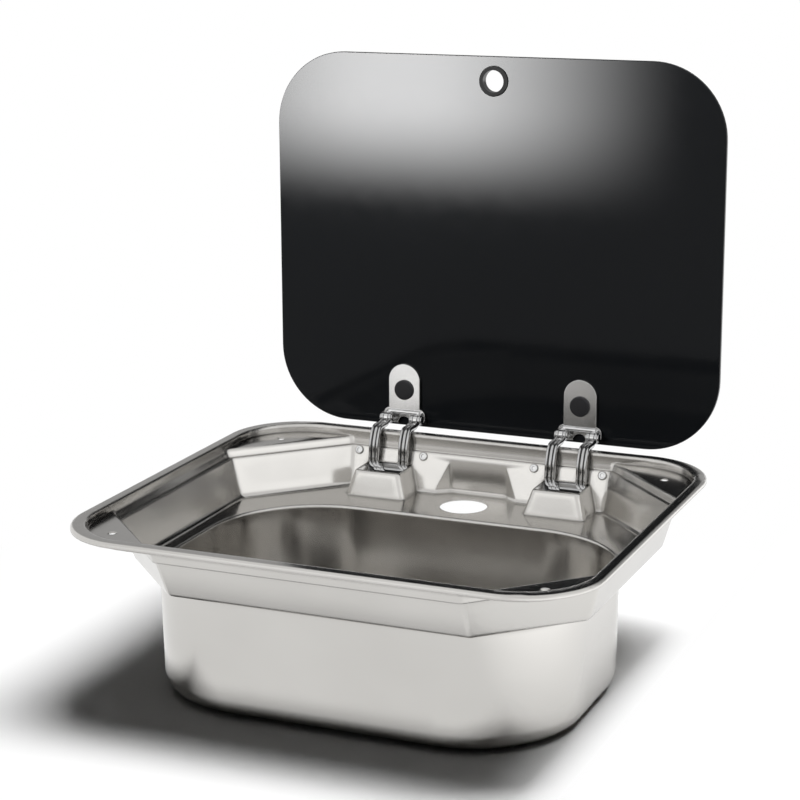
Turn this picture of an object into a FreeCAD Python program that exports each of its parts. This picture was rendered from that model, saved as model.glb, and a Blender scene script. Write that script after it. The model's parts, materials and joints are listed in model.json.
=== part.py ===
import FreeCAD, Part
import math
import os

V = FreeCAD.Vector

# Inset sink with a hinged glass lid. Millimetres, +Z up, X to the right, -Y to the user.
# The origin is the middle of the waste hole, at the height of the bowl's underside.
# Heights named "depth" are measured down from the top of the rim.

# --- driving dimensions: the pressed basin --------------------------------------------------
SHEET = 1.0                # steel sheet
BASIN_HEIGHT = 145.0       # top of the rim to the underside of the bowl
RIM_WIDTH = 420.0
RIM_DEPTH = 370.0
RIM_CORNER = 62.0
RIM_LIP = 3.6              # the rim's edge is turned down by this much
RIM_EDGE_ROUND = 2.4
FLANGE_SIDE = 9.8          # width of the flat rim at the sides
FLANGE_FRONT = 11.4
FLANGE_BACK = 10.5
RECESS_CORNER = 55.0
RECESS_ROUND = 1.8         # where the rim turns down into the recess

SEAT_DEPTH = 7.0           # corner platforms, where the lid rests
PLATFORM_ROUND = 2.2
PLATFORM_STEP = 5.5        # back wall's half length at the platforms, over that at the deck
BAND_DEPTH = 14.0          # foot of the upright band below the rim
BAND_TAPER = 2.5           # how far the band leans inwards by its foot
BAND_TAPER_BACK = 1.0
STEP_WIDTH = 2.8           # joggle below the band
STEP_WIDTH_BACK = 1.2
TRAY_DEPTH = 47.0          # deck round the bowl
WALL_RUN_SIDE = 9.9        # how far the sloped walls come in from the joggle to the deck
WALL_RUN_FRONT = 17.3
WALL_RUN_BACK = 10.3
FRONT_WALL_HALF = 120.0    # half length of the straight front wall at the deck
HINGE_MARGIN = 33.7        # hinge's middle to the end of the straight back wall at the deck
TRAY_CORNER_ROUND = 7.0
TRAY_FOOT_ROUND = 5.0

DECK_SIDE = 14.5           # width of the deck beside the bowl's mouth
DECK_FRONT = 12.0
DECK_BACK = 60.0
DECK_DIAGONAL = 9.2        # and at the corners
BOWL_TAPER = 1.5           # the bowl's sides lean inwards by this much
BOWL_FOOT_ROUND = 15.0
BOWL_LIP_ROUND = 1.8

TAP_HOLE_R = 20.0
TAP_HOLE_TO_WALL = 25.0    # middle of the tap hole to the foot of the back wall
TAP_PANEL_SET_BACK = 9.0   # upright panel behind the tap, from the foot of the back wall
TAP_PANEL_FROM_HINGE = 55.3
TAP_PANEL_FLARE = 1.42     # the panel's flanks open by this much sideways for each mm forwards
TAP_PANEL_ROUND = 5.0
CORNER_HOLE_R = 3.0
CORNER_HOLE_FROM_SIDE = 38.0
CORNER_HOLE_FROM_EDGE = 42.0

# --- driving dimensions: the waste outlet ---------------------------------------------------
DRAIN_Y = 0.0
DRAIN_HOLE_R = 26.0
DRAIN_SEAL_THICK = 1.2
DRAIN_FLANGE_R = 34.0
DRAIN_FLANGE_THICK = 1.4
DRAIN_NECK_WALL = 1.8
DRAIN_NECK_GAP = 0.6
GRID_THICK = 1.2
GRID_HOLE_R = 2.4
GRID_RING_RADII = (0.0, 8.0, 16.0)   # with 1, 6 and 12 holes

# --- driving dimensions: the lid ------------------------------------------------------------
LID_CORNER = 63.0
GLASS = 4.0
LID_SIDE_GAP = 1.4         # closed lid to the recess
LID_FRONT_GAP = 0.8
LID_BACK_GAP = 25.9        # room for the arms and brackets behind the closed lid
LID_SEAT_GAP = 0.8         # closed lid above the corner platforms
LID_LEAN = 0.84            # degrees past upright when open
RING_FROM_EDGE = 20.4      # finger ring's middle from the lid's free edge
RING_OUTER_R = 12.7
RING_INNER_R = 9.2
RING_TUBE_WALL = 1.4
RING_FLANGE = 1.8
BRACKET_PLUG_U = 32.2      # bracket's bolt from the lid's hinge edge
BRACKET_HALF = 14.3
BRACKET_TOP_U = 40.5       # middle of the bracket's round end
BRACKET_FOOT_U = 2.5
BRACKET_THICK = 2.4
BRACKET_LIP_U = 12.5
BRACKET_LIP_R = 1.9
GASKET = 0.6
KNUCKLE_HALF = 19.0
KNUCKLE_TOP_U = 15.5
KNUCKLE_ARCH_R = 6.0
PLUG_R = 8.8
PLUG_HEAD = 2.2
BOLT_R = 3.0
BOLT_HOLE_R = 4.0
CLAMP_DISC_R = 14.0
CLAMP_DISC_THICK = 2.0

# --- driving dimensions: the hinges ---------------------------------------------------------
HINGE_X = 80.3             # each hinge's middle from the sink's middle
PIVOT_BEHIND = 3.9         # pin behind the back of the recess
PIVOT_DEPTH = 30.2
PIN_R = 3.0
RUNNING_FIT = 0.05         # radial play of the arms and sleeve on the pin
HUB_R = 6.3
ARM_SET_X = 13.75          # middle of each set of arms from the hinge's middle
ARM_OFFSET = 3.3           # outer plates from the middle of their set
ARM_THICK = 2.6
ARM_MIDDLE_THICK = 3.2
ARM_WIDTH = 5.0
ARM_MIDDLE_WIDTH = 4.0
ARM_EYE_R = 4.5
WALL_GAP = 0.8             # open arms to the back wall and the rim
NECK_RISE = 8.0            # height over which an arm leaves its slot and nears the wall
ARM_BEND = 1.5
RIVET_BEHIND = 8.5         # arms' outer eye behind the rim when the lid stands upright
RIVET_RISE = 7.5           # above the rim
RIVET_R = 2.0
RIVET_HEAD_R = 3.4
RIVET_HEAD = 1.0
LUG_HALF = 1.7
LUG_R = 4.2

HOUSING_DEPTH = 26.0       # top of the pressed hinge housing
HOUSING_TOP_HALF = 20.8
HOUSING_FOOT_HALF = 27.5
HOUSING_TOP_REACH = 23.6   # forwards from the foot of the back wall
HOUSING_FOOT_REACH = 29.0
HOUSING_ROUND = 2.6
HOUSING_SLOT_HALF = 19.4
HOUSING_SLOT_SET_BACK = 2.8
BASE_PLATE = 2.5
BASE_BEYOND_SCREW = 6.0
BASE_WINDOW_HALF = 20.4
BASE_TOP_DEPTH = 15.2
BASE_STRIP = 3.0
BASE_FOOT_DEPTH = 37.0
CHEEK_THICK = 4.0
CHEEK_R = 7.5
SCREW_FROM_HINGE = 30.0
SCREW_DEPTH = 17.8
SCREW_HEAD_R = 3.6
SCREW_HEAD = 1.6
SCREW_R = 2.0
SCREW_LENGTH = 9.0
SCREW_PLAY = 0.2
SCREW_SOCKET_R = 1.7
SEAL_HEIGHT = 2.8          # it stands a little below the turned-down lip
SEAL_WIDTH = 4.6

PARTS_DIR = "parts"
SIDES = (("left", -1), ("right", 1))


def level(depth):
    """Height above the underside of a point this far below the top of the rim."""
    return BASIN_HEIGHT - depth


# --- what follows from them: recess, tray, bowl -----------------------------------------------
RECESS_X = RIM_WIDTH / 2 - FLANGE_SIDE
RECESS_FRONT = -RIM_DEPTH / 2 + FLANGE_FRONT
RECESS_BACK = RIM_DEPTH / 2 - FLANGE_BACK
JOGGLE_BACK_Y = RECESS_BACK - BAND_TAPER_BACK - STEP_WIDTH_BACK
TRAY_SIDE_X = RECESS_X - BAND_TAPER - STEP_WIDTH - WALL_RUN_SIDE
TRAY_FRONT_Y = RECESS_FRONT + BAND_TAPER + STEP_WIDTH + WALL_RUN_FRONT
TRAY_BACK_Y = JOGGLE_BACK_Y - WALL_RUN_BACK

# Spans are |x| + |y| along the cut corners.
BACK_WALL_HALF = HINGE_X + HINGE_MARGIN
TRAY_SPAN_BACK = TRAY_BACK_Y + BACK_WALL_HALF
TRAY_SPAN_FRONT = FRONT_WALL_HALF - TRAY_FRONT_Y
PLATFORM_SPAN = RECESS_BACK + BACK_WALL_HALF + PLATFORM_STEP

BOWL_HALF = TRAY_SIDE_X - DECK_SIDE
BOWL_FRONT_Y = TRAY_FRONT_Y + DECK_FRONT
BOWL_BACK_Y = TRAY_BACK_Y - DECK_BACK
# A round corner of radius r brings the bowl's span at 45 degrees down by CORNER_CUT * r.
CORNER_CUT = 2 - math.sqrt(2)
BOWL_SPAN = TRAY_SPAN_FRONT - DECK_DIAGONAL * math.sqrt(2)
BOWL_CORNER = min((BOWL_HALF - BOWL_FRONT_Y - BOWL_SPAN) / CORNER_CUT,
                  (BOWL_BACK_Y - BOWL_FRONT_Y) / 2 - 1)

TAP_HOLE_Y = TRAY_BACK_Y - TAP_HOLE_TO_WALL
TAP_PANEL_Y = TRAY_BACK_Y + TAP_PANEL_SET_BACK
TAP_PANEL_HALF = HINGE_X - TAP_PANEL_FROM_HINGE
CORNER_HOLE_X = RIM_WIDTH / 2 - CORNER_HOLE_FROM_SIDE
CORNER_HOLE_Y = RIM_DEPTH / 2 - CORNER_HOLE_FROM_EDGE

# --- what follows from them: hinges and lid -----------------------------------------------------
PIVOT_Y = RECESS_BACK + PIVOT_BEHIND
RIVET_Y = RIM_DEPTH / 2 + RIVET_BEHIND
HOUSING_TOP_Y = TRAY_BACK_Y - HOUSING_TOP_REACH
HOUSING_FOOT_Y = TRAY_BACK_Y - HOUSING_FOOT_REACH
HOUSING_SLOT_Y = HOUSING_TOP_Y + HOUSING_SLOT_SET_BACK
BASE_HALF = SCREW_FROM_HINGE + BASE_BEYOND_SCREW
LID_HALF = RECESS_X - LID_SIDE_GAP
LID_CLOSED_BACK_Y = RECESS_BACK - LID_BACK_GAP
LID_LENGTH = LID_CLOSED_BACK_Y - RECESS_FRONT - LID_FRONT_GAP
PIVOT = V(0, PIVOT_Y, level(PIVOT_DEPTH))
X_AXIS = V(1, 0, 0)

made = []


def save(name, shape):
    """Write one sub-part to its own file."""
    shape.exportStep(os.path.join(PARTS_DIR, name + ".step"))
    made.append((name, shape))


# --- outlines and simple solids -------------------------------------------------------------
def rounded_outline(x0, x1, y0, y1, radius, z):
    """Closed wire of a rectangle with round corners."""
    k = radius * (1 - math.sqrt(0.5))
    edges = []
    starts = [V(x0 + radius, y0, z), V(x1, y0 + radius, z), V(x1 - radius, y1, z), V(x0, y1 - radius, z)]
    ends = [V(x1 - radius, y0, z), V(x1, y1 - radius, z), V(x0 + radius, y1, z), V(x0, y0 + radius, z)]
    middles = [V(x1 - k, y0 + k, z), V(x1 - k, y1 - k, z), V(x0 + k, y1 - k, z), V(x0 + k, y0 + k, z)]
    for i in range(4):
        edges.append(Part.LineSegment(starts[i], ends[i]).toShape())
        edges.append(Part.Arc(ends[i], middles[i], starts[(i + 1) % 4]).toShape())
    return Part.Wire(edges)


def rounded_plate(x0, x1, y0, y1, radius, z0, z1):
    face = Part.Face(rounded_outline(x0, x1, y0, y1, radius, z0))
    return face.extrude(V(0, 0, z1 - z0))


def octagon(side, front, back, span_front, span_back, z):
    """Closed wire of the tray: a rectangle whose corners are cut where |x| + |y| = span."""
    right = [
        (span_front + front, front), (side, side - span_front),
        (side, span_back - side), (span_back - back, back),
    ]
    left = [(-x, y) for x, y in reversed(right)]
    corners = [V(x, y, z) for x, y in right + left]
    return Part.makePolygon(corners + corners[:1])


def edges_at(shape, z, tolerance=0.01):
    """Edges that lie flat at one height."""
    return [e for e in shape.Edges
            if abs(e.BoundBox.ZMin - z) < tolerance and e.BoundBox.ZLength < tolerance]


def steep_edges(shape):
    """Edges that climb from one outline to the other."""
    return [e for e in shape.Edges if e.BoundBox.ZLength > 1.0]


def box(x0, x1, y0, y1, z0, z1):
    return Part.makeBox(x1 - x0, y1 - y0, z1 - z0, V(x0, y0, z0))


def rod(x0, x1, y, z, radius):
    """Round bar along X."""
    return Part.makeCylinder(radius, x1 - x0, V(x0, y, z), X_AXIS)


def turned(profile, centre):
    """Solid of revolution about the vertical line through centre, from (radius, height) points."""
    points = [V(r, 0, z) for r, z in profile]
    face = Part.Face(Part.makePolygon(points + points[:1]))
    solid = face.revolve(V(0, 0, 0), V(0, 0, 1), 360)
    solid.translate(centre)
    return solid


# --- the basin: an outer form less the same form one sheet smaller --------------------------
def recess_form(grow):
    top = level(0) + (0 if grow else 1)
    return rounded_plate(-RECESS_X - grow, RECESS_X + grow, RECESS_FRONT - grow, RECESS_BACK + grow,
                         RECESS_CORNER + grow, level(SEAT_DEPTH) - grow, top)


def ring_outline(depth, lean, lean_back, grow, drop=0.0):
    """Outline of the tray near its top, leaning inwards from the recess's outline."""
    span = PLATFORM_SPAN - lean + grow * math.sqrt(2)
    return octagon(RECESS_X - lean + grow, RECESS_FRONT + lean - grow, RECESS_BACK - lean_back + grow,
                   span, span, level(depth) - drop)


def band_form(grow):
    """Upright band between the platforms' edges and the joggle."""
    upper = ring_outline(SEAT_DEPTH, 0.0, 0.0, grow)
    lower = ring_outline(BAND_DEPTH, BAND_TAPER, BAND_TAPER_BACK, grow, grow)
    form = Part.makeLoft([upper, lower], True, True)
    return form.makeFillet(TRAY_CORNER_ROUND + grow, steep_edges(form))


def tray_form(grow):
    """Sloped octagonal tray from the joggle down to the deck."""
    diagonal = grow * math.sqrt(2)
    upper = ring_outline(BAND_DEPTH, BAND_TAPER + STEP_WIDTH, BAND_TAPER_BACK + STEP_WIDTH_BACK, grow)
    lower = octagon(TRAY_SIDE_X + grow, TRAY_FRONT_Y - grow, TRAY_BACK_Y + grow,
                    TRAY_SPAN_FRONT + diagonal, TRAY_SPAN_BACK + diagonal, level(TRAY_DEPTH) - grow)
    form = Part.makeLoft([upper, lower], True, True)
    form = form.makeFillet(TRAY_CORNER_ROUND + grow, steep_edges(form))
    return form.makeFillet(TRAY_FOOT_ROUND + grow, edges_at(form, level(TRAY_DEPTH) - grow))


def tap_panel_form(grow):
    """Upright recess in the sloped back wall, behind the tap."""
    back = TAP_PANEL_Y + grow
    half = TAP_PANEL_HALF + grow * 0.7
    front = TRAY_BACK_Y - TRAY_FOOT_ROUND
    wide = half + TAP_PANEL_FLARE * (back - front)
    corners = [V(-wide, front, 0), V(-half, back, 0), V(half, back, 0), V(wide, front, 0)]
    face = Part.Face(Part.makePolygon(corners + corners[:1]))
    face.translate(V(0, 0, level(TRAY_DEPTH) - grow))
    form = face.extrude(V(0, 0, TRAY_DEPTH - BAND_DEPTH + grow))
    upright = [e for e in steep_edges(form) if e.BoundBox.YMin > back - 1]
    form = form.makeFillet(TAP_PANEL_ROUND, upright)
    foot = [e for e in edges_at(form, level(TRAY_DEPTH) - grow) if e.BoundBox.YMax > front + 0.1]
    return form.makeFillet(TAP_PANEL_ROUND - 1 + grow, foot)


def housing_form(side, shrink):
    """Pressed housing that stands in the tray over one hinge."""
    top = level(HOUSING_DEPTH) - shrink
    foot = level(TRAY_DEPTH)
    fall = HOUSING_DEPTH - TRAY_DEPTH
    below = 12.0
    stretch = (fall - below) / fall
    spread = (HOUSING_FOOT_HALF - HOUSING_TOP_HALF) * stretch
    reach = (HOUSING_TOP_Y - HOUSING_FOOT_Y) * stretch
    middle = side * HINGE_X
    back = PIVOT_Y + HOUSING_TOP_REACH

    def outline(half, front, z):
        corners = [V(middle - half, front, z), V(middle + half, front, z), V(middle + half, back, z),
                   V(middle - half, back, z)]
        return Part.makePolygon(corners + corners[:1])

    upper = outline(HOUSING_TOP_HALF - shrink, HOUSING_TOP_Y + shrink, top)
    lower = outline(HOUSING_TOP_HALF + spread - shrink, HOUSING_TOP_Y - reach + shrink, foot - below)
    form = Part.makeLoft([lower, upper], True, True)
    front_edges = [e for e in steep_edges(form) if e.BoundBox.YMax < HOUSING_TOP_Y + 5]
    form = form.makeFillet(HOUSING_ROUND * 2 - shrink, front_edges)
    rim = [e for e in edges_at(form, top) if e.BoundBox.YMin < back - 1]
    return form.makeFillet(HOUSING_ROUND - shrink, rim)


def bowl_form(grow):
    half = BOWL_HALF + grow
    front = BOWL_FRONT_Y - grow
    back = BOWL_BACK_Y + grow
    floor = SHEET - grow
    top = level(TRAY_DEPTH) + (0 if grow else 1)
    mouth = rounded_outline(-half, half, front, back, BOWL_CORNER + grow, top)
    lean = BOWL_TAPER
    foot = rounded_outline(-half + lean, half - lean, front + lean, back - lean,
                           BOWL_CORNER + grow - lean, floor)
    form = Part.makeLoft([foot, mouth], True, True)
    return form.makeFillet(BOWL_FOOT_ROUND + grow, edges_at(form, floor))


def basin_form(grow):
    """The whole hollow, or with grow the whole outside, below the flange."""
    tray = band_form(grow).fuse([tray_form(grow), tap_panel_form(grow)])
    for _, side in SIDES:
        tray = tray.cut(housing_form(side, grow))
    return recess_form(grow).fuse([tray, bowl_form(grow)])


def flange():
    """Flat rim whose outer edge is rounded over and turned down."""
    half_x = RIM_WIDTH / 2
    half_y = RIM_DEPTH / 2
    outer = rounded_plate(-half_x, half_x, -half_y, half_y, RIM_CORNER, level(RIM_LIP), level(0))
    outer = outer.makeFillet(RIM_EDGE_ROUND, edges_at(outer, level(0)))
    half_x -= SHEET
    half_y -= SHEET
    inner = rounded_plate(-half_x, half_x, -half_y, half_y, RIM_CORNER - SHEET, level(RIM_LIP) - 1,
                          level(SHEET))
    inner = inner.makeFillet(RIM_EDGE_ROUND - SHEET, edges_at(inner, level(SHEET)))
    return outer.cut(inner)


def wall_point(depth):
    """Point on the front face of the sloped back wall at this depth, and the wall's normal."""
    rise = TRAY_DEPTH - BAND_DEPTH
    y = JOGGLE_BACK_Y - WALL_RUN_BACK * (depth - BAND_DEPTH) / rise
    normal = V(0, -rise, WALL_RUN_BACK)
    normal.normalize()
    return y, normal


def wall_back(depth):
    """How far back the rear face of the sloped back wall is at this depth."""
    share = (depth - BAND_DEPTH) / (TRAY_DEPTH + SHEET - BAND_DEPTH)
    return JOGGLE_BACK_Y + SHEET - WALL_RUN_BACK * share


def screw_places():
    y, _ = wall_point(SCREW_DEPTH)
    return [V(side * HINGE_X + offset, y, level(SCREW_DEPTH))
            for _, side in SIDES for offset in (-SCREW_FROM_HINGE, SCREW_FROM_HINGE)]


def on_bowl_mouth(edge):
    """Whether an edge of the deck is the rim of the bowl."""
    middle = edge.valueAt((edge.FirstParameter + edge.LastParameter) / 2)
    return abs(middle.x) < BOWL_HALF + 1 and BOWL_FRONT_Y - 1 < middle.y < BOWL_BACK_Y + 1


def on_platform_edge(edge):
    """Whether an edge is the straight edge of a corner platform."""
    middle = edge.valueAt((edge.FirstParameter + edge.LastParameter) / 2)
    return abs(abs(middle.x) + abs(middle.y) - PLATFORM_SPAN) < 0.1 and edge.Length > PLATFORM_STEP


def basin_shell():
    shell = flange().fuse(basin_form(SHEET)).cut(basin_form(0))
    mouth = [e for e in edges_at(shell, level(0)) if abs(e.BoundBox.Center.x) < RECESS_X + 1
             and max(abs(e.BoundBox.XMax), abs(e.BoundBox.XMin)) < RECESS_X + 1]
    shell = shell.makeFillet(RECESS_ROUND, mouth)
    bends = [e for e in edges_at(shell, level(SEAT_DEPTH)) if on_platform_edge(e)]
    shell = shell.makeFillet(PLATFORM_ROUND, bends)
    lip = [e for e in edges_at(shell, level(TRAY_DEPTH)) if on_bowl_mouth(e)]
    shell = shell.makeFillet(BOWL_LIP_ROUND, lip)
    holes = [Part.makeCylinder(TAP_HOLE_R, TRAY_DEPTH, V(0, TAP_HOLE_Y, level(TRAY_DEPTH) - 2 * SHEET))]
    holes.append(Part.makeCylinder(DRAIN_HOLE_R, 3 * SHEET, V(0, DRAIN_Y, -SHEET)))
    for x in (-CORNER_HOLE_X, CORNER_HOLE_X):
        for y in (-CORNER_HOLE_Y, CORNER_HOLE_Y):
            below = V(x, y, level(SEAT_DEPTH) - 2 * SHEET)
            holes.append(Part.makeCylinder(CORNER_HOLE_R, 3 * SHEET, below))
    _, normal = wall_point(SCREW_DEPTH)
    for place in screw_places():
        holes.append(Part.makeCylinder(SCREW_R + SCREW_PLAY, 6 * SHEET, place + normal * 3 * SHEET,
                                       normal * -1))
    for _, side in SIDES:
        middle = side * HINGE_X
        holes.append(box(middle - HOUSING_SLOT_HALF, middle + HOUSING_SLOT_HALF, HOUSING_SLOT_Y,
                         wall_back(HOUSING_DEPTH) + SHEET, level(HOUSING_DEPTH) - 2 * SHEET,
                         level(HOUSING_DEPTH)))
    return shell.cut(holes)


def rim_seal():
    """Foam seal under the flange."""
    lip = RIM_EDGE_ROUND
    outer_x = RIM_WIDTH / 2 - lip
    outer_y = RIM_DEPTH / 2 - lip
    top = level(SHEET)
    outer = rounded_plate(-outer_x, outer_x, -outer_y, outer_y, RIM_CORNER - lip, top - SEAL_HEIGHT, top)
    inner_x = outer_x - SEAL_WIDTH
    inner_y = outer_y - SEAL_WIDTH
    inner = rounded_plate(-inner_x, inner_x, -inner_y, inner_y, RIM_CORNER - lip - SEAL_WIDTH,
                          top - SEAL_HEIGHT, top)
    return outer.cut(inner)


# --- the waste outlet -----------------------------------------------------------------------
def drain_parts():
    centre = V(0, DRAIN_Y, 0)
    neck = DRAIN_HOLE_R - DRAIN_NECK_GAP
    bore = neck - DRAIN_NECK_WALL
    seat = SHEET + DRAIN_SEAL_THICK
    top = seat + DRAIN_FLANGE_THICK
    ledge = 1.5
    seal = turned([(DRAIN_HOLE_R, SHEET), (DRAIN_FLANGE_R - 1, SHEET), (DRAIN_FLANGE_R - 1, seat),
                   (DRAIN_HOLE_R, seat)], centre)
    body = turned([(neck, 0), (neck, seat), (DRAIN_FLANGE_R, seat), (DRAIN_FLANGE_R, top - 0.6),
                   (DRAIN_FLANGE_R - 1.5, top), (bore + 1, top), (bore, top - 1), (bore, 1.2),
                   (bore - ledge, 1.2), (bore - ledge, 0)], centre)
    grid_r = bore - 0.1
    grid = Part.makeCylinder(grid_r, GRID_THICK, centre + V(0, 0, 1.2))
    for ring, radius in enumerate(GRID_RING_RADII):
        count = max(1, 6 * ring)
        for i in range(count):
            angle = 2 * math.pi * i / count
            at = centre + V(radius * math.cos(angle), radius * math.sin(angle), 0)
            grid = grid.cut(Part.makeCylinder(GRID_HOLE_R, 5, at))
    return seal, body, grid


# --- the hinges: fixed pieces ---------------------------------------------------------------
def hinge_base(side):
    """Plate behind the back wall with two cheeks that hold the pin."""
    middle = side * HINGE_X
    _, normal = wall_point(BASE_TOP_DEPTH)
    thick = BASE_PLATE / -normal.y
    foot = V(middle - BASE_HALF, wall_back(BASE_FOOT_DEPTH), level(BASE_FOOT_DEPTH))
    top = V(middle - BASE_HALF, wall_back(BASE_TOP_DEPTH), level(BASE_TOP_DEPTH))
    corners = [foot, top, top + V(0, thick, 0), foot + V(0, thick, 0)]
    plate = Part.Face(Part.makePolygon(corners + corners[:1])).extrude(V(2 * BASE_HALF, 0, 0))
    window = box(middle - BASE_WINDOW_HALF, middle + BASE_WINDOW_HALF, foot.y - 1, top.y + thick + 1,
                 foot.z - 1, level(BASE_TOP_DEPTH + BASE_STRIP))
    base = plate.cut(window)
    cheek_front = wall_back(PIVOT_DEPTH - CHEEK_R)
    for hand in (-1, 1):
        inner = middle + hand * BASE_WINDOW_HALF
        outer = inner + hand * CHEEK_THICK
        x0, x1 = min(inner, outer), max(inner, outer)
        cheek = box(x0, x1, cheek_front, PIVOT_Y, PIVOT.z - CHEEK_R, PIVOT.z + CHEEK_R)
        base = base.fuse([cheek, rod(x0, x1, PIVOT_Y, PIVOT.z, CHEEK_R)])
    base = base.cut(rod(middle - BASE_HALF, middle + BASE_HALF, PIVOT_Y, PIVOT.z, PIN_R))
    for place in screw_places():
        base = base.cut(Part.makeCylinder(SCREW_R, 2 * SCREW_LENGTH, place, normal * -1))
    return base


def hinge_pin(side):
    middle = side * HINGE_X
    half = BASE_WINDOW_HALF + CHEEK_THICK + 1.2
    return rod(middle - half, middle + half, PIVOT_Y, PIVOT.z, PIN_R)


def hinge_sleeve(side):
    """Sleeve that keeps the two sets of arms apart."""
    middle = side * HINGE_X
    half = ARM_SET_X - ARM_OFFSET - ARM_THICK / 2 - 0.3
    sleeve = rod(middle - half, middle + half, PIVOT_Y, PIVOT.z, PIN_R + 2)
    return sleeve.cut(rod(middle - half, middle + half, PIVOT_Y, PIVOT.z, PIN_R + RUNNING_FIT))


def hinge_screws():
    _, normal = wall_point(SCREW_DEPTH)
    screws = []
    for place in screw_places():
        head = Part.makeCylinder(SCREW_HEAD_R, SCREW_HEAD, place, normal)
        head = head.makeFillet(SCREW_HEAD * 0.6, [head.Edges[0]])
        socket = Part.makeCylinder(SCREW_SOCKET_R, SCREW_HEAD, place + normal * (SCREW_HEAD * 0.4), normal)
        shank = Part.makeCylinder(SCREW_R, SCREW_LENGTH, place, normal * -1)
        screws.append(head.cut(socket).fuse(shank))
    return Part.makeCompound(screws)


# --- the lid's pieces, drawn with the lid upright -------------------------------------------
LID_SEAT = level(SEAT_DEPTH) + LID_SEAT_GAP
LID_FACE_Y = PIVOT_Y + (LID_SEAT - PIVOT.z)
LID_EDGE_Z = PIVOT.z + (PIVOT_Y - LID_CLOSED_BACK_Y)


def opened(shape):
    """Lean an upright piece back to where the open lid stops."""
    shape.rotate(PIVOT, X_AXIS, -LID_LEAN)
    return shape


def lid_point(x, up, out):
    """Point on the upright lid: up from its hinge edge, out from its inner face."""
    return V(x, LID_FACE_Y + out, LID_EDGE_Z + up)


def pillar(x, up, out0, out1, radius):
    """Round bar square to the glass."""
    return Part.makeCylinder(radius, out1 - out0, lid_point(x, up, out0), V(0, 1, 0))


def lid_glass():
    wire = rounded_outline(-LID_HALF, LID_HALF, 0, LID_LENGTH, LID_CORNER, 0)
    glass = Part.Face(wire).extrude(V(0, 0, -GLASS))
    glass.rotate(V(0, 0, 0), X_AXIS, 90)
    glass.translate(V(0, LID_FACE_Y, LID_EDGE_Z))
    holes = [pillar(0, LID_LENGTH - RING_FROM_EDGE, -1, GLASS + 1, RING_INNER_R + RING_TUBE_WALL)]
    for _, side in SIDES:
        holes.append(pillar(side * HINGE_X, BRACKET_PLUG_U, -1, GLASS + 1, BOLT_HOLE_R))
    glass = glass.cut(holes)
    long_edges = [e for e in glass.Edges if e.BoundBox.YLength < 0.01 and e.Length > LID_CORNER]
    return glass.makeChamfer(0.5, long_edges)


def finger_ring():
    up = LID_LENGTH - RING_FROM_EDGE
    wall = RING_INNER_R + RING_TUBE_WALL
    body = pillar(0, up, -RING_FLANGE, GLASS + RING_FLANGE, wall)
    for out0 in (-RING_FLANGE, GLASS):
        disc = pillar(0, up, out0, out0 + RING_FLANGE, RING_OUTER_R)
        crown = max(disc.Edges, key=lambda e: abs(e.BoundBox.Center.y - LID_FACE_Y - GLASS / 2))
        rounded = [e for e in disc.Edges if abs(e.BoundBox.Center.y - crown.BoundBox.Center.y) < 0.01]
        body = body.fuse(disc.makeFillet(RING_FLANGE * 0.7, rounded))
    return body.cut(pillar(0, up, -GLASS, GLASS * 2, RING_INNER_R))


def bracket_outline(side, out0, out1, foot):
    """Tongue with a round end, lying along the glass."""
    middle = side * HINGE_X
    tongue = box(middle - BRACKET_HALF, middle + BRACKET_HALF, LID_FACE_Y + out0, LID_FACE_Y + out1,
                 LID_EDGE_Z + foot, LID_EDGE_Z + BRACKET_TOP_U)
    return tongue.fuse(pillar(middle, BRACKET_TOP_U, out0, out1, BRACKET_HALF)).removeSplitter()


def lid_bracket(side):
    middle = side * HINGE_X
    inner = -GASKET
    outer = inner - BRACKET_THICK
    plate = bracket_outline(side, outer, inner, BRACKET_FOOT_U)
    knuckle = box(middle - KNUCKLE_HALF, middle + KNUCKLE_HALF, LID_FACE_Y + outer, LID_FACE_Y + inner,
                  LID_EDGE_Z + BRACKET_FOOT_U, LID_EDGE_Z + KNUCKLE_TOP_U)
    corners = [e for e in knuckle.Edges if e.BoundBox.YLength > 1]
    knuckle = knuckle.makeFillet(5.0, corners)
    arch = pillar(middle, BRACKET_FOOT_U, outer - 1, inner + 1, KNUCKLE_ARCH_R)
    body = plate.fuse(knuckle).cut(arch)
    lip = rod(middle - BRACKET_HALF, middle + BRACKET_HALF, LID_FACE_Y + outer, LID_EDGE_Z + BRACKET_LIP_U,
              BRACKET_LIP_R)
    lip = lip.cut(box(middle - KNUCKLE_HALF, middle + KNUCKLE_HALF, LID_FACE_Y + inner, LID_FACE_Y + GLASS,
                      LID_EDGE_Z, LID_EDGE_Z + BRACKET_TOP_U))
    body = body.fuse(lip)
    for hand in (-1, 1):
        centre = middle + hand * ARM_SET_X
        eye = rod(centre - LUG_HALF, centre + LUG_HALF, RIVET_Y, level(0) + RIVET_RISE, LUG_R)
        web = box(centre - LUG_HALF, centre + LUG_HALF, RIVET_Y, LID_FACE_Y + outer + 0.5,
                  level(0) + RIVET_RISE - LUG_R, level(0) + RIVET_RISE + LUG_R)
        body = body.fuse(eye.fuse(web))
        body = body.cut(rod(centre - 2 * LUG_HALF, centre + 2 * LUG_HALF, RIVET_Y, level(0) + RIVET_RISE,
                            RIVET_R))
    return body.cut(pillar(middle, BRACKET_PLUG_U, outer - 1, inner + 1, BOLT_R)).removeSplitter()


def bracket_gasket(side):
    pad = bracket_outline(side, -GASKET, 0, KNUCKLE_TOP_U)
    return pad.cut(pillar(side * HINGE_X, BRACKET_PLUG_U, -5, 5, BOLT_R))


def bracket_bolt(side):
    return pillar(side * HINGE_X, BRACKET_PLUG_U, -GASKET - BRACKET_THICK, GLASS + GASKET + 1.0, BOLT_R)


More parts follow.
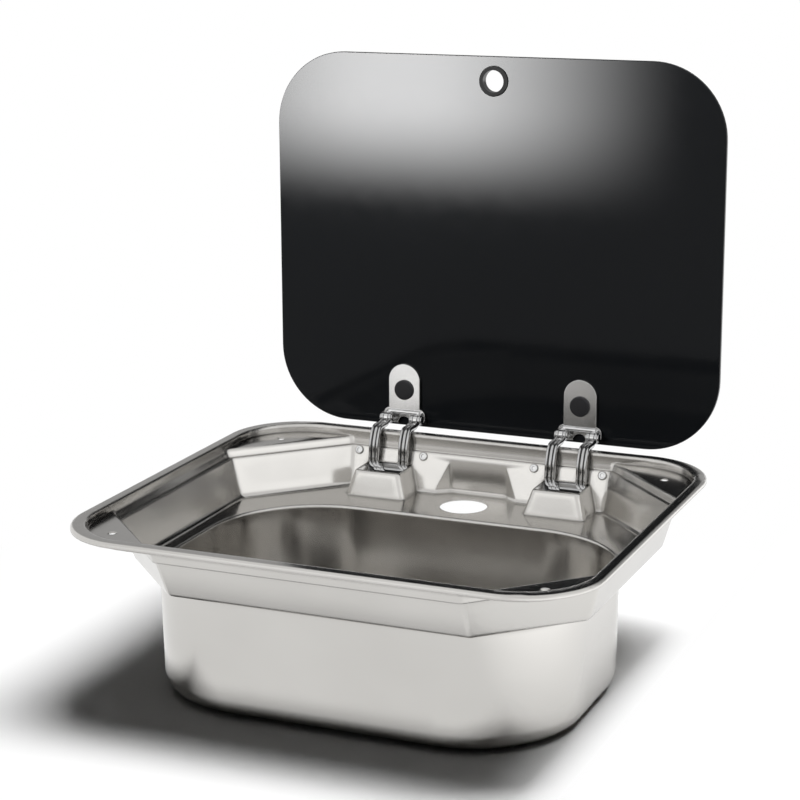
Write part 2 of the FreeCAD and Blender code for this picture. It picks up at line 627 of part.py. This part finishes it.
def bracket_plug(side):
    front = -GASKET - BRACKET_THICK
    plug = pillar(side * HINGE_X, BRACKET_PLUG_U, front - PLUG_HEAD, front, PLUG_R)
    crown = [e for e in plug.Edges if abs(e.BoundBox.Center.y - LID_FACE_Y - front + PLUG_HEAD) < 0.01]
    return plug.makeFillet(PLUG_HEAD * 0.6, crown)


def clamp_disc(side):
    """Round pad that takes the bolt on the lid's outer face."""
    disc = pillar(side * HINGE_X, BRACKET_PLUG_U, GLASS, GLASS + CLAMP_DISC_THICK, CLAMP_DISC_R)
    top_y = LID_FACE_Y + GLASS + CLAMP_DISC_THICK
    crown = [e for e in disc.Edges if abs(e.BoundBox.Center.y - top_y) < 0.01]
    disc = disc.makeFillet(CLAMP_DISC_THICK * 0.6, crown)
    return disc.cut(pillar(side * HINGE_X, BRACKET_PLUG_U, 0, GLASS + GASKET + 1.0, BOLT_R))


def arm_path():
    """Middle line of an open arm, from the pin round the rim to the rivet, as (y, z)."""
    half = ARM_WIDTH / 2
    away = WALL_GAP + half
    neck_z = level(HOUSING_DEPTH) - SHEET - WALL_GAP - half
    low_y, _ = wall_point(HOUSING_DEPTH)
    mid_depth = HOUSING_DEPTH - NECK_RISE
    mid_y, _ = wall_point(mid_depth)
    corner = away * math.sqrt(0.5)
    return [
        (PIVOT_Y, PIVOT.z),
        (low_y, neck_z),
        (low_y - away, neck_z + away),
        (mid_y - away, level(mid_depth)),
        (RECESS_BACK - BAND_TAPER_BACK - away, level(SEAT_DEPTH)),
        (RECESS_BACK - corner, level(0) + corner),
        (RECESS_BACK + ARM_BEND, level(0) + away),
        (RIM_DEPTH / 2 + ARM_BEND, level(0) + away + WALL_GAP / 2),
        (RIVET_Y, level(0) + RIVET_RISE),
    ]


def arm_plate(centre, thick, width, whole):
    """One plate of an arm: a bent strip with an eye on the pin and, if whole, one on the rivet."""
    path = arm_path()
    if not whole:
        path = path[:-1]
    x0 = centre - thick / 2
    x1 = centre + thick / 2
    pieces = [rod(x0, x1, PIVOT_Y, PIVOT.z, HUB_R)]
    for (ya, za), (yb, zb) in zip(path, path[1:]):
        run = math.hypot(yb - ya, zb - za)
        bar = box(x0, x1, 0, run, -width / 2, width / 2)
        bar.rotate(V(0, 0, 0), X_AXIS, math.degrees(math.atan2(zb - za, yb - ya)))
        bar.translate(V(0, ya, za))
        pieces.append(bar)
        pieces.append(rod(x0, x1, yb, zb, width / 2))
    if whole:
        pieces.append(rod(x0, x1, RIVET_Y, level(0) + RIVET_RISE, ARM_EYE_R))
    plate = pieces[0].fuse(pieces[1:]).removeSplitter()
    bores = [rod(x0 - 1, x1 + 1, PIVOT_Y, PIVOT.z, PIN_R + RUNNING_FIT)]
    if whole:
        bores.append(rod(x0 - 1, x1 + 1, RIVET_Y, level(0) + RIVET_RISE, RIVET_R))
    return plate.cut(bores)


def hinge_arms(side):
    """Six plates of one hinge: two sets of an outer, a middle and an inner plate."""
    plates = []
    for hand in (-1, 1):
        centre = side * HINGE_X + hand * ARM_SET_X
        plates.append(arm_plate(centre - ARM_OFFSET, ARM_THICK, ARM_WIDTH, True))
        plates.append(arm_plate(centre, ARM_MIDDLE_THICK, ARM_MIDDLE_WIDTH, False))
        plates.append(arm_plate(centre + ARM_OFFSET, ARM_THICK, ARM_WIDTH, True))
    return plates


def arm_rivets(side):
    rivets = []
    z = level(0) + RIVET_RISE
    half = ARM_OFFSET + ARM_THICK / 2
    for hand in (-1, 1):
        centre = side * HINGE_X + hand * ARM_SET_X
        rivet = rod(centre - half - RIVET_HEAD, centre + half + RIVET_HEAD, RIVET_Y, z, RIVET_R)
        for face in (centre - half - RIVET_HEAD, centre + half):
            rivet = rivet.fuse(rod(face, face + RIVET_HEAD, RIVET_Y, z, RIVET_HEAD_R))
        rivets.append(rivet)
    return Part.makeCompound(rivets)


def main():
    os.makedirs(PARTS_DIR, exist_ok=True)
    save("basin_shell", basin_shell())
    save("rim_seal", rim_seal())
    seal, body, grid = drain_parts()
    save("drain_seal", seal)
    save("drain_flange", body)
    save("drain_grid", grid)
    save("hinge_screws", hinge_screws())
    save("lid_glass", opened(lid_glass()))
    save("finger_ring", opened(finger_ring()))
    for name, side in SIDES:
        save("hinge_base_" + name, hinge_base(side))
        save("hinge_pin_" + name, hinge_pin(side))
        save("hinge_sleeve_" + name, hinge_sleeve(side))
        save("lid_bracket_" + name, opened(lid_bracket(side)))
        save("bracket_gasket_" + name, opened(bracket_gasket(side)))
        save("bracket_bolt_" + name, opened(bracket_bolt(side)))
        save("bracket_plug_" + name, opened(bracket_plug(side)))
        save("clamp_disc_" + name, opened(clamp_disc(side)))
        save("arm_rivets_" + name, opened(arm_rivets(side)))
        for number, plate in enumerate(hinge_arms(side), 1):
            save("hinge_arm_%s_%d" % (name, number), opened(plate))
    for name, shape in made:
        bounds = shape.BoundBox
        print("%-22s solids %d valid %s volume %.0f z %.1f..%.1f" % (
            name, len(shape.Solids), shape.isValid(), shape.Volume, bounds.ZMin, bounds.ZMax))


main()
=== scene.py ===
import json
import math
import bpy
from mathutils import Matrix, Vector


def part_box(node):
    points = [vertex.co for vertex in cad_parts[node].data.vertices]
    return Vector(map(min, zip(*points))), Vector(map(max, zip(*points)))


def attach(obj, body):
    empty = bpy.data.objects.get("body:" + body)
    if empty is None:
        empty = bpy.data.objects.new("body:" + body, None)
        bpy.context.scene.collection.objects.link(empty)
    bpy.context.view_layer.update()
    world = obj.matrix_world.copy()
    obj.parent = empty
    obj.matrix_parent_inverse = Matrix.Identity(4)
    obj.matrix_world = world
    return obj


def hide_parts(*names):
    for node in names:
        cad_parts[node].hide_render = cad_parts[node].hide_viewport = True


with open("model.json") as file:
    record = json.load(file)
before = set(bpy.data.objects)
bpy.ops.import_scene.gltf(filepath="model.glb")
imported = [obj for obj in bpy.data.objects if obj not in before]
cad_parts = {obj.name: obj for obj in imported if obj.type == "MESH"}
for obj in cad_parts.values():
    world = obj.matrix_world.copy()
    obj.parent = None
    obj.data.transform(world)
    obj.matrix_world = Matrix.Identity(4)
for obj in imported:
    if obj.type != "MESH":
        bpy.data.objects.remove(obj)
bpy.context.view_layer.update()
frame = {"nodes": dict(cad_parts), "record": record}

# --- driving values, in metres ----------------------------------------------------------------
MM = 0.001
MERGE = 0.002 * MM                 # corners closer than this become one
SMOOTH_ANGLE = math.radians(32)    # flatter edges than this shade smoothly
PLATE_SMOOTH_ANGLE = math.radians(50)

CAMERA_AT = (0.652548, -1.499461, 0.642473)
CAMERA_RIGHT = (0.91843856, 0.39543971, -0.00990191)
CAMERA_UP = (-0.08950383, 0.23213231, 0.96855751)
CAMERA_LENS = 98.92                # in millimetres

SHELL_LOW, SHELL_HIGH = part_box("basin_shell")
RIM_TOP = SHELL_HIGH[2]
RIM_BACK = SHELL_HIGH[1]
FLOOR_Z = SHELL_LOW[2]

PIVOT_Y, PIVOT_Z = frame["record"]["behaviour"]["joints"][0]["pos_m"][1:]
LEAN = math.radians(0.84)          # how far the open lid leans past upright
WALL_Y = PIVOT_Y - 6.1 * MM        # back wall under the rim, in front of the pin
RIVET_Y = RIM_BACK + 8.5 * MM      # where the plates' outer eyes are with the lid upright
RIVET_Z = RIM_TOP + 7.5 * MM
HINGE_X = 80.3 * MM
HUB_R = 6.3 * MM
ARM_EYE_R = 4.5 * MM
EYE_EDGE_ROUND = 0.5 * MM
ARM_WIDTH = 5.0 * MM
ARM_MIDDLE_WIDTH = 4.2 * MM
ARM_BULGE = 7.5 * MM               # middle of a plate from the back wall, where it stands out most
ARM_CLEAR = 3.6 * MM               # middle of a plate above the rim

GUARD_SET_BACK = 8.0 * MM          # open front of the guard, behind the front of the hinge base
GUARD_BEHIND = 2.2 * MM            # how far the guard reaches past the hinge base
GUARD_ABOVE = 2.0 * MM
GUARD_BELOW = 6.0 * MM
GUARD_WIDER = 3.0 * MM
GUARD_WALL = 1.2 * MM

# painted shade in bends and joints: how far its ambient-occlusion darkening reaches, and its colour
CREASE_REACH = 7.0 * MM
CREASE_SHADE_COLOUR = (0.16, 0.15, 0.135)
CREASE_OPEN = (0.35, 0.9)          # openness at which a crease is darkest, and at which it ends
BRUSHING = 0.012                   # strength of the brushed grain's relief
BRUSHING_DEPTH = 0.04 * MM
SPECKLE_DEPTH = 0.05 * MM
MOULDED_EDGE = 0.6 * MM
GLASS_GLOSS = 0.09
GLASS_DARK = (0.0040, 0.0046, 0.0054)
GLASS_LIGHT = (0.0052, 0.0058, 0.0066)

AMBIENT = 0.015                    # world's strength for diffuse light
FLOOR_SPAN = 40.0
FLOOR_DROP = 0.4 * MM              # floor below the foot of the bowl
FLOOR_COLOUR = (0.95, 0.95, 0.95)
BOWL_HALF_X = 0.1705               # oblong under the bowl, from which the shadow's reach is told
BOWL_HALF_Y = 0.1205
BOWL_MIDDLE_Y = -0.0185
SHADOW_REACH = (0.12, 0.30)        # from the oblong: where the floor starts to turn white, and is
SHADOW_RIGHT = (0.165, 0.195)      # the same along X, which trims the shadow at the right
MIRRORED_REACH = (0.0, 0.05)       # the same from the oblong, for the floor seen in the steel
GLOW_X = (0.2, 0.45)               # stretch of X over which the white floor's glow grows
GLOW_LEVEL = (1.0, 1.6)


# --- camera -------------------------------------------------------------------------------------
def camera():
    data = bpy.data.cameras.new("camera")
    data.lens = CAMERA_LENS
    cam = bpy.data.objects.new("camera", data)
    right, up = Vector(CAMERA_RIGHT), Vector(CAMERA_UP)
    back = right.cross(up)
    turn = Matrix((right, up, back)).transposed().to_4x4()
    cam.matrix_world = Matrix.Translation(CAMERA_AT) @ turn
    bpy.context.scene.collection.objects.link(cam)
    bpy.context.scene.camera = cam


# --- material helpers ---------------------------------------------------------------------------
def new_material(name):
    material = bpy.data.materials.new(name)
    material.use_nodes = True
    tree = material.node_tree
    return material, tree.nodes, tree.links, tree.nodes["Principled BSDF"]


def object_axes(nodes, links):
    """X, Y and Z of the Object coordinates."""
    place = nodes.new("ShaderNodeTexCoord")
    split = nodes.new("ShaderNodeSeparateXYZ")
    links.new(place.outputs["Object"], split.inputs[0])
    return split.outputs


def object_noise(nodes, links, size, detail, stretched=(1, 1, 1)):
    """Noise on Object coordinates, finer along an axis by its share of stretched."""
    place = nodes.new("ShaderNodeTexCoord")
    mapping = nodes.new("ShaderNodeMapping")
    mapping.inputs["Scale"].default_value = stretched
    noise = nodes.new("ShaderNodeTexNoise")
    noise.inputs["Scale"].default_value = size
    noise.inputs["Detail"].default_value = detail
    links.new(place.outputs["Object"], mapping.inputs["Vector"])
    links.new(mapping.outputs["Vector"], noise.inputs["Vector"])
    return noise.outputs["Fac"]


def remap(nodes, links, value, low, high, to_low=0.0, to_high=1.0):
    node = nodes.new("ShaderNodeMapRange")
    node.inputs["From Min"].default_value = low
    node.inputs["From Max"].default_value = high
    node.inputs["To Min"].default_value = to_low
    node.inputs["To Max"].default_value = to_high
    links.new(value, node.inputs["Value"])
    return node.outputs["Result"]


def maths(nodes, links, operation, first, second=0.0):
    """One calculation with two values, each of them a number or another node's output."""
    node = nodes.new("ShaderNodeMath")
    node.operation = operation
    for place, value in zip(node.inputs, (first, second)):
        if isinstance(value, float):
            place.default_value = value
        else:
            links.new(value, place)
    return node.outputs[0]


def blended_colour(nodes, links, factor, first, second):
    """Mix of two colours, each of them a colour or another node's output."""
    mix = nodes.new("ShaderNodeMix")
    mix.data_type = "RGBA"
    for place, colour in zip(mix.inputs[6:8], (first, second)):
        if isinstance(colour, tuple):
            place.default_value = (*colour, 1)
        else:
            links.new(colour, place)
    links.new(factor, mix.inputs[0])
    return mix.outputs[2]


def soft_edges(nodes, radius):
    """Normals that run smoothly round the bends, as pressed and polished metal does."""
    node = nodes.new("ShaderNodeBevel")
    node.samples = 6
    node.inputs["Radius"].default_value = radius
    return node.outputs["Normal"]


def painted_crease_shade(nodes, links, colour):
    """The colour with painted shade, darker where a bend or a joint shuts out the light."""
    crease = nodes.new("ShaderNodeAmbientOcclusion")
    crease.samples = 8
    crease.inputs["Distance"].default_value = CREASE_REACH
    openness = remap(nodes, links, crease.outputs["AO"], *CREASE_OPEN)
    return blended_colour(nodes, links, openness, CREASE_SHADE_COLOUR, colour)


def bump(nodes, links, height, strength, distance, normal):
    node = nodes.new("ShaderNodeBump")
    node.inputs["Strength"].default_value = strength
    node.inputs["Distance"].default_value = distance
    links.new(height, node.inputs["Height"])
    links.new(normal, node.inputs["Normal"])
    return node.outputs["Normal"]


def surface(links, shader, colour, roughness, normal=None):
    links.new(colour, shader.inputs["Base Color"])
    links.new(roughness, shader.inputs["Roughness"])
    if normal:
        links.new(normal, shader.inputs["Normal"])


# --- finishes -----------------------------------------------------------------------------------
def brushed_steel(name, light, dark, rough, bend):
    """Steel with fine brushing along X, broad faint smudges, soft bends and painted shade in its creases.
    """
    material, nodes, links, shader = new_material(name)
    shader.inputs["Metallic"].default_value = 1.0
    smudge = object_noise(nodes, links, 9, 2, (1, 1, 1.6))
    handled = object_noise(nodes, links, 38, 5)
    grain = object_noise(nodes, links, 3, 2, (8, 600, 600))
    unshaded = blended_colour(nodes, links, remap(nodes, links, smudge, 0.2, 0.8), light, dark)
    # painted shade: the base colour darkens where ambient occlusion finds a crease
    surface(links, shader, painted_crease_shade(nodes, links, unshaded),
            remap(nodes, links, handled, 0.1, 0.9, rough * 0.8, rough * 1.25),
            bump(nodes, links, grain, BRUSHING, BRUSHING_DEPTH, soft_edges(nodes, bend)))
    return material


def polished_steel(name, colour, rough, bend):
    """Bright steel with fine wear."""
    material, nodes, links, shader = new_material(name)
    shader.inputs["Metallic"].default_value = 1.0
    wear = object_noise(nodes, links, 220, 4)
    surface(links, shader, blended_colour(nodes, links, wear, colour, tuple(0.9 * c for c in colour)),
            remap(nodes, links, wear, 0.1, 0.9, rough * 0.8, rough * 1.5),
            soft_edges(nodes, bend))
    return material


def smoked_glass():
    """Near black glass with faint clouds and dust."""
    material, nodes, links, shader = new_material("smoked_glass_face")
    shader.inputs["Specular IOR Level"].default_value = GLASS_GLOSS
    cloud = object_noise(nodes, links, 6, 2)
    dust = object_noise(nodes, links, 90, 6)
    surface(links, shader, blended_colour(nodes, links, cloud, GLASS_DARK, GLASS_LIGHT),
            remap(nodes, links, dust, 0.2, 0.8, 0.05, 0.08))
    return material


def black_moulding(name, colour, rough, gloss, grain=0.15):
    """Black plastic, rubber or foam with a fine speckle."""
    material, nodes, links, shader = new_material(name)
    shader.inputs["Specular IOR Level"].default_value = gloss
    speckle = object_noise(nodes, links, 900, 3)
    surface(links, shader, blended_colour(nodes, links, speckle, colour, tuple(1.6 * c for c in colour)),
            remap(nodes, links, speckle, 0.3, 0.7, rough, rough * 1.3),
            bump(nodes, links, speckle, grain, SPECKLE_DEPTH, soft_edges(nodes, MOULDED_EDGE)))
    return material


# --- pieces that take a CAD node's place --------------------------------------------------------
def only(piece):
    bpy.ops.object.select_all(action="DESELECT")
    piece.select_set(True)
    bpy.context.view_layer.objects.active = piece


def smooth_copy(node, body, material):
    """The CAD node's own form with its doubles merged, so that round faces shade smoothly."""
    mesh = frame["nodes"][node].data.copy()
    piece = bpy.data.objects.new(node + "_finished", mesh)
    bpy.context.scene.collection.objects.link(piece)
    only(piece)
    bpy.ops.object.mode_set(mode="EDIT")
    bpy.ops.mesh.select_all(action="SELECT")
    bpy.ops.mesh.remove_doubles(threshold=MERGE)
    bpy.ops.mesh.customdata_custom_splitnormals_clear()
    bpy.ops.object.mode_set(mode="OBJECT")
    mesh.materials.clear()
    mesh.materials.append(material)
    bpy.ops.object.shade_smooth_by_angle(angle=SMOOTH_ANGLE)
    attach(piece, body)
    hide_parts(node)
    return piece


# --- hinges -------------------------------------------------------------------------------------
def leaned(y, z):
    """A point drawn with the lid upright, once the lid leans back to where it stops."""
    y, z = y - PIVOT_Y, z - PIVOT_Z
    return (PIVOT_Y + y * math.cos(LEAN) + z * math.sin(LEAN),
            PIVOT_Z - y * math.sin(LEAN) + z * math.cos(LEAN))


def arm_line():
    """Bent middle line of one plate, from under the housing, over the rim, to its rivet."""
    over = RIM_TOP + ARM_CLEAR
    return [leaned(y, z) for y, z in (
        (PIVOT_Y, PIVOT_Z), (WALL_Y - 1 * MM, PIVOT_Z), (WALL_Y - 9 * MM, PIVOT_Z + 5 * MM),
        (WALL_Y - ARM_BULGE, PIVOT_Z + 13 * MM), (WALL_Y - ARM_BULGE, RIM_TOP - 10 * MM),
        (WALL_Y - 2 * MM, over - 0.5 * MM), (WALL_Y + 6 * MM, over),
        (RIM_BACK + 1 * MM, over), (RIVET_Y, RIVET_Z))]


def oval(name, width, height):
    bpy.ops.curve.primitive_nurbs_circle_add(radius=0.5)
    piece = bpy.context.object
    piece.name = name
    piece.scale = (width, height, 1)
    bpy.ops.object.transform_apply(location=False, rotation=False, scale=True)
    return piece


def eye(x, y, z, radius, thick):
    """Round end of a plate, with its edge rounded over."""
    bpy.ops.mesh.primitive_cylinder_add(vertices=40, radius=radius, depth=thick, location=(x, y, z),
                                        rotation=(0, math.pi / 2, 0))
    piece = bpy.context.object
    bpy.ops.object.transform_apply(location=True, rotation=True, scale=True)
    soft = piece.modifiers.new("soft", "BEVEL")
    soft.width = EYE_EDGE_ROUND
    soft.segments = 3
    soft.limit_method = "ANGLE"
    bpy.ops.object.modifier_apply(modifier=soft.name)
    return piece


def hinge_plate(node, material):
    """One bent plate with rounded edges and an eye on the pin.

    A long plate has one on the rivet as well. The short one stops before it.
    """
    low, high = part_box(node)
    x, thick = (low[0] + high[0]) / 2, high[0] - low[0]
    long = high[1] > RIVET_Y
    line = arm_line() if long else arm_line()[:-1]
    width = ARM_WIDTH if long else ARM_MIDDLE_WIDTH
    section = oval("plate_section", width, thick)
    bpy.ops.curve.primitive_nurbs_path_add()
    path = bpy.context.object
    path.data.dimensions = "2D"
    spline = path.data.splines[0]
    spline.points.add(len(line) - len(spline.points))
    for point, (y, z) in zip(spline.points, line):
        point.co = (y, z, 0, 1)
    spline.order_u = 3
    spline.use_endpoint_u = True
    path.data.resolution_u = 8
    path.data.bevel_mode = "OBJECT"
    path.data.bevel_object = section
    path.data.use_fill_caps = True
    only(path)
    bpy.ops.object.convert(target="MESH")
    bpy.data.objects.remove(section)
    plate = bpy.context.object
    plate.matrix_world = Matrix(((0, 0, 1, x), (1, 0, 0, 0), (0, 1, 0, 0), (0, 0, 0, 1)))
    bpy.ops.object.transform_apply(location=True, rotation=True, scale=True)
    ends = [eye(x, PIVOT_Y, PIVOT_Z, HUB_R, thick)]
    if long:
        ends.append(eye(x, *leaned(RIVET_Y, RIVET_Z), ARM_EYE_R, thick))
    only(plate)
    for end in ends:
        end.select_set(True)
    bpy.ops.object.join()
    bpy.ops.object.mode_set(mode="EDIT")
    bpy.ops.mesh.select_all(action="SELECT")
    bpy.ops.mesh.normals_make_consistent(inside=False)
    bpy.ops.object.mode_set(mode="OBJECT")
    plate.data.materials.clear()
    plate.data.materials.append(material)
    plate.name = node + "_polished"
    bpy.ops.object.shade_smooth_by_angle(angle=PLATE_SMOOTH_ANGLE)
    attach(plate, "lid")
    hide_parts(node)
    return plate


def hinge_guard(name, x, material):
    """Thin black cover behind a hinge, open below and to the front, seen through the housing's slot."""
    low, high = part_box("hinge_base_" + name)
    y0, y1 = low[1] + GUARD_SET_BACK, high[1] + GUARD_BEHIND
    z0, z1 = low[2] - GUARD_BELOW, high[2] + GUARD_ABOVE
    bpy.ops.mesh.primitive_cube_add(size=1, location=(x, (y0 + y1) / 2, (z0 + z1) / 2))
    cover = bpy.context.object
    cover.name = "hinge_guard_" + name
    cover.scale = (high[0] - low[0] + GUARD_WIDER, y1 - y0, z1 - z0)
    bpy.ops.object.transform_apply(location=True, rotation=True, scale=True)
    bpy.ops.object.mode_set(mode="EDIT")
    bpy.ops.mesh.select_all(action="DESELECT")
    bpy.ops.object.mode_set(mode="OBJECT")
    for face in cover.data.polygons:
        face.select = face.normal.y < -0.5 or face.normal.z < -0.5
    bpy.ops.object.mode_set(mode="EDIT")
    bpy.ops.mesh.delete(type="FACE")
    bpy.ops.object.mode_set(mode="OBJECT")
    wall = cover.modifiers.new("wall", "SOLIDIFY")
    wall.thickness = GUARD_WALL
    bpy.ops.object.modifier_apply(modifier=wall.name)
    cover.data.materials.append(material)
    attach(cover, body_of["hinge_base_" + name])
    return cover


# --- studio -------------------------------------------------------------------------------------
def mirrored(nodes, links, path):
    """1 for what is seen by reflection, but not by light that has already met the floor."""
    return maths(nodes, links, "MULTIPLY", path.outputs["Is Glossy Ray"],
                 maths(nodes, links, "LESS_THAN", path.outputs["Diffuse Depth"], 0.5))


def studio():
    """White world to the camera and in the steel, which gives next to no diffuse light."""
    scene = bpy.context.scene
    scene.view_settings.view_transform = "Standard"
    world = bpy.data.worlds.new("studio")
    scene.world = world
    world.use_nodes = True
    nodes, links = world.node_tree.nodes, world.node_tree.links
    ground = nodes["Background"]
    ground.inputs["Color"].default_value = (1, 1, 1, 1)
    path = nodes.new("ShaderNodeLightPath")
    seen = maths(nodes, links, "MAXIMUM", path.outputs["Is Camera Ray"], mirrored(nodes, links, path))
    seen = maths(nodes, links, "MAXIMUM", seen, path.outputs["Is Transmission Ray"])
    links.new(remap(nodes, links, seen, 0, 1, AMBIENT, 1.0), ground.inputs["Strength"])


def beyond_bowl(nodes, links, x, y):
    """Distance outside the oblong under the bowl, along X or Y, whichever is larger."""
    across = maths(nodes, links, "SUBTRACT", maths(nodes, links, "ABSOLUTE", x), BOWL_HALF_X)
    along = maths(nodes, links, "ABSOLUTE", maths(nodes, links, "SUBTRACT", y, BOWL_MIDDLE_Y))
    along = maths(nodes, links, "SUBTRACT", along, BOWL_HALF_Y)
    return maths(nodes, links, "MAXIMUM", across, along)


def floor():
    """Pale floor that keeps the shadow near the object and is plain white further out."""
    bpy.ops.mesh.primitive_plane_add(size=FLOOR_SPAN, location=(0, 0, FLOOR_Z - FLOOR_DROP))
    ground = bpy.context.object
    ground.name = "floor"
    material, nodes, links, shader = new_material("pale_floor")
    shader.inputs["Base Color"].default_value = (*FLOOR_COLOUR, 1)
    shader.inputs["Roughness"].default_value = 1.0
    shader.inputs["Specular IOR Level"].default_value = 0.0
    x, y = object_axes(nodes, links)[:2]
    beyond = beyond_bowl(nodes, links, x, y)
    path = nodes.new("ShaderNodeLightPath")
    clear = maths(nodes, links, "MAXIMUM", remap(nodes, links, beyond, *SHADOW_REACH),
                  remap(nodes, links, x, *SHADOW_RIGHT))
    direct = maths(nodes, links, "MULTIPLY", path.outputs["Is Camera Ray"], clear)
    reflected = maths(nodes, links, "MULTIPLY", mirrored(nodes, links, path),
                      remap(nodes, links, beyond, *MIRRORED_REACH))
    share = maths(nodes, links, "MAXIMUM", direct, reflected)
    glow = nodes.new("ShaderNodeEmission")
    links.new(remap(nodes, links, x, *GLOW_X, *GLOW_LEVEL), glow.inputs["Strength"])
    mix = nodes.new("ShaderNodeMixShader")
    links.new(share, mix.inputs[0])
    links.new(shader.outputs[0], mix.inputs[1])
    links.new(glow.outputs[0], mix.inputs[2])
    links.new(mix.outputs[0], nodes["Material Output"].inputs["Surface"])
    ground.data.materials.append(material)


def group_of(name, pieces):
    """Pieces that a light reaches, or that block it."""
    group = bpy.data.collections.new(name)
    for piece in pieces:
        group.objects.link(piece)
    return group


def faded_edges(nodes, links, soft):
    """1 in the middle of a card, falling to 0 at its edges over the soft share of each side."""
    edges = []
    for across, share in zip(object_axes(nodes, links), soft):
        fall = nodes.new("ShaderNodeMapRange")
        fall.interpolation_type = "SMOOTHSTEP"
        fall.inputs["From Min"].default_value = 0.5
        fall.inputs["From Max"].default_value = 0.5 - share
        links.new(maths(nodes, links, "ABSOLUTE", across), fall.inputs["Value"])
        edges.append(fall.outputs["Result"])
    return maths(nodes, links, "MULTIPLY", *edges)


def card(name, centre, normal, width, height, level, soft, receivers=None, solid=False):
    """Card that only reflections see. Its brightness falls off softly at its edges.

    It lights everything, or only the receivers. Soft is the fading share of its width and height.
    A solid card hides what is behind it; any other adds its light to that.
    """
    bpy.ops.mesh.primitive_plane_add(size=1)
    piece = bpy.context.object
    piece.name = name
    piece.scale = (width, height, 1)
    piece.rotation_mode = "QUATERNION"
    piece.rotation_quaternion = Vector(normal).to_track_quat("Z", "Y")
    piece.location = centre
    material = bpy.data.materials.new(name)
    material.use_nodes = True
    nodes, links = material.node_tree.nodes, material.node_tree.links
    nodes.clear()
    path = nodes.new("ShaderNodeLightPath")
    share = maths(nodes, links, "MULTIPLY", faded_edges(nodes, links, soft), mirrored(nodes, links, path))
    glow = nodes.new("ShaderNodeEmission")
    clear = nodes.new("ShaderNodeBsdfTransparent")
    if solid:
        glow.inputs["Strength"].default_value = level
        joined = nodes.new("ShaderNodeMixShader")
        links.new(share, joined.inputs[0])
    else:
        links.new(maths(nodes, links, "MULTIPLY", share, level), glow.inputs["Strength"])
        joined = nodes.new("ShaderNodeAddShader")
    first, second = joined.inputs[-2:]
    links.new(clear.outputs[0], first)
    links.new(glow.outputs[0], second)
    out = nodes.new("ShaderNodeOutputMaterial")
    links.new(joined.outputs[0], out.inputs[0])
    piece.data.materials.append(material)
    piece.visible_camera = False
    piece.visible_diffuse = False
    piece.visible_shadow = False
    if receivers:
        piece.light_linking.receiver_collection = group_of(name + "_receivers", receivers)


def lamp(name, at, aim, size, watts, receivers=None, blockers=None):
    """Soft lamp that no reflection shows. It lights the receivers, and only the blockers shade it."""
    data = bpy.data.lights.new(name, "AREA")
    data.shape = "RECTANGLE"
    data.size, data.size_y = size
    data.energy = watts
    light = bpy.data.objects.new(name, data)
    light.location = at
    light.rotation_mode = "QUATERNION"
    light.rotation_quaternion = (Vector(aim) - Vector(at)).to_track_quat("-Z", "Y")
    light.visible_glossy = False
    if receivers:
        light.light_linking.receiver_collection = group_of(name + "_receivers", receivers)
    if blockers:
        light.light_linking.blocker_collection = group_of(name + "_blockers", blockers)
    bpy.context.scene.collection.objects.link(light)


# --- the sink -----------------------------------------------------------------------------------
camera()
studio()
floor()
finish = {
    "basin_steel": brushed_steel("satin_pressed_steel", (0.620, 0.607, 0.585), (0.565, 0.552, 0.530),
                                 0.17, 2.2 * MM),
    "drain_steel": brushed_steel("satin_drain_steel", (0.62, 0.61, 0.60), (0.55, 0.54, 0.53),
                                 0.22, 0.5 * MM),
    "bracket_steel": polished_steel("polished_bracket_steel", (0.66, 0.66, 0.66), 0.14, 0.6 * MM),
    "arm_chrome": polished_steel("polished_arm_chrome", (0.50, 0.50, 0.50), 0.08, 0.3 * MM),
    "screw_steel": polished_steel("polished_screw_steel", (0.6, 0.6, 0.6), 0.12, 0.4 * MM),
    "hinge_steel": polished_steel("plain_hinge_steel", (0.45, 0.45, 0.45), 0.3, 0.4 * MM),
    "smoked_glass": smoked_glass(),
    "black_rubber": black_moulding("ring_rubber", (0.006, 0.006, 0.006), 0.28, 0.5),
    "black_plastic": black_moulding("plug_plastic", (0.007, 0.007, 0.008), 0.38, 0.35),
    "seal_foam": black_moulding("seal_foam", (0.02, 0.02, 0.02), 0.8, 0.3, 0.5),
}
finish["soft_seal"] = finish["seal_foam"]

slot_of = {part["node"]: part["material_slot"] for part in frame["record"]["subparts"]}
body_of = {node: body for body, nodes in frame["record"]["behaviour"]["bodies"].items()
           for node in nodes}
made = {}
for node in frame["nodes"]:
    if node.startswith("hinge_arm_"):
        made[node] = hinge_plate(node, finish["arm_chrome"])
    else:
        made[node] = smooth_copy(node, body_of[node], finish[slot_of[node]])

for name, side in (("left", -1), ("right", 1)):
    made["guard_" + name] = hinge_guard(name, side * HINGE_X, finish["black_plastic"])

# --- light --------------------------------------------------------------------------------------
lamp("key", (0.50, 0.30, 2.4), (0, 0, 0), (1.0, 1.6), 82, blockers=[made["basin_shell"]])
lamp("front", (-0.9, -1.8, 1.5), (0, 0, 0.15), (1.2, 0.8), 70, receivers=made.values())
card("back_grey", (0.0, 2.0, 1.15), (0, -1, 0), 5.0, 1.9, 0.42, (0.1, 0.1), solid=True)
card("top_grey", (0, 0.3, 2.4), (0, 0, -1), 4.5, 4.5, 0.95, (0.1, 0.1), solid=True)
card("wall_light", (-0.75, -1.9, 0.80), (0, 1, 0), 1.7, 0.75, 0.45, (0.3, 0.3))
card("side_light", (2.0, -0.75, 0.85), (-1, 0.3, 0), 1.6, 0.8, 0.5, (0.3, 0.3))
card("lid_light", (-0.715, -1.25, 0.365), (0, 1, 0), 0.95, 0.51, 90.0, (0.47, 0.353),
     [made["lid_glass"]])
card("bracket_light", (-0.138, 0.063, 0.150), (0, 1, 0), 0.09, 0.10, 0.8, (0.4, 0.4),
     [made["lid_bracket_left"]])
card("bracket_light_right", (0.022, 0.063, 0.150), (0, 1, 0), 0.09, 0.10, 0.10, (0.4, 0.4),
     [made["lid_bracket_right"]])
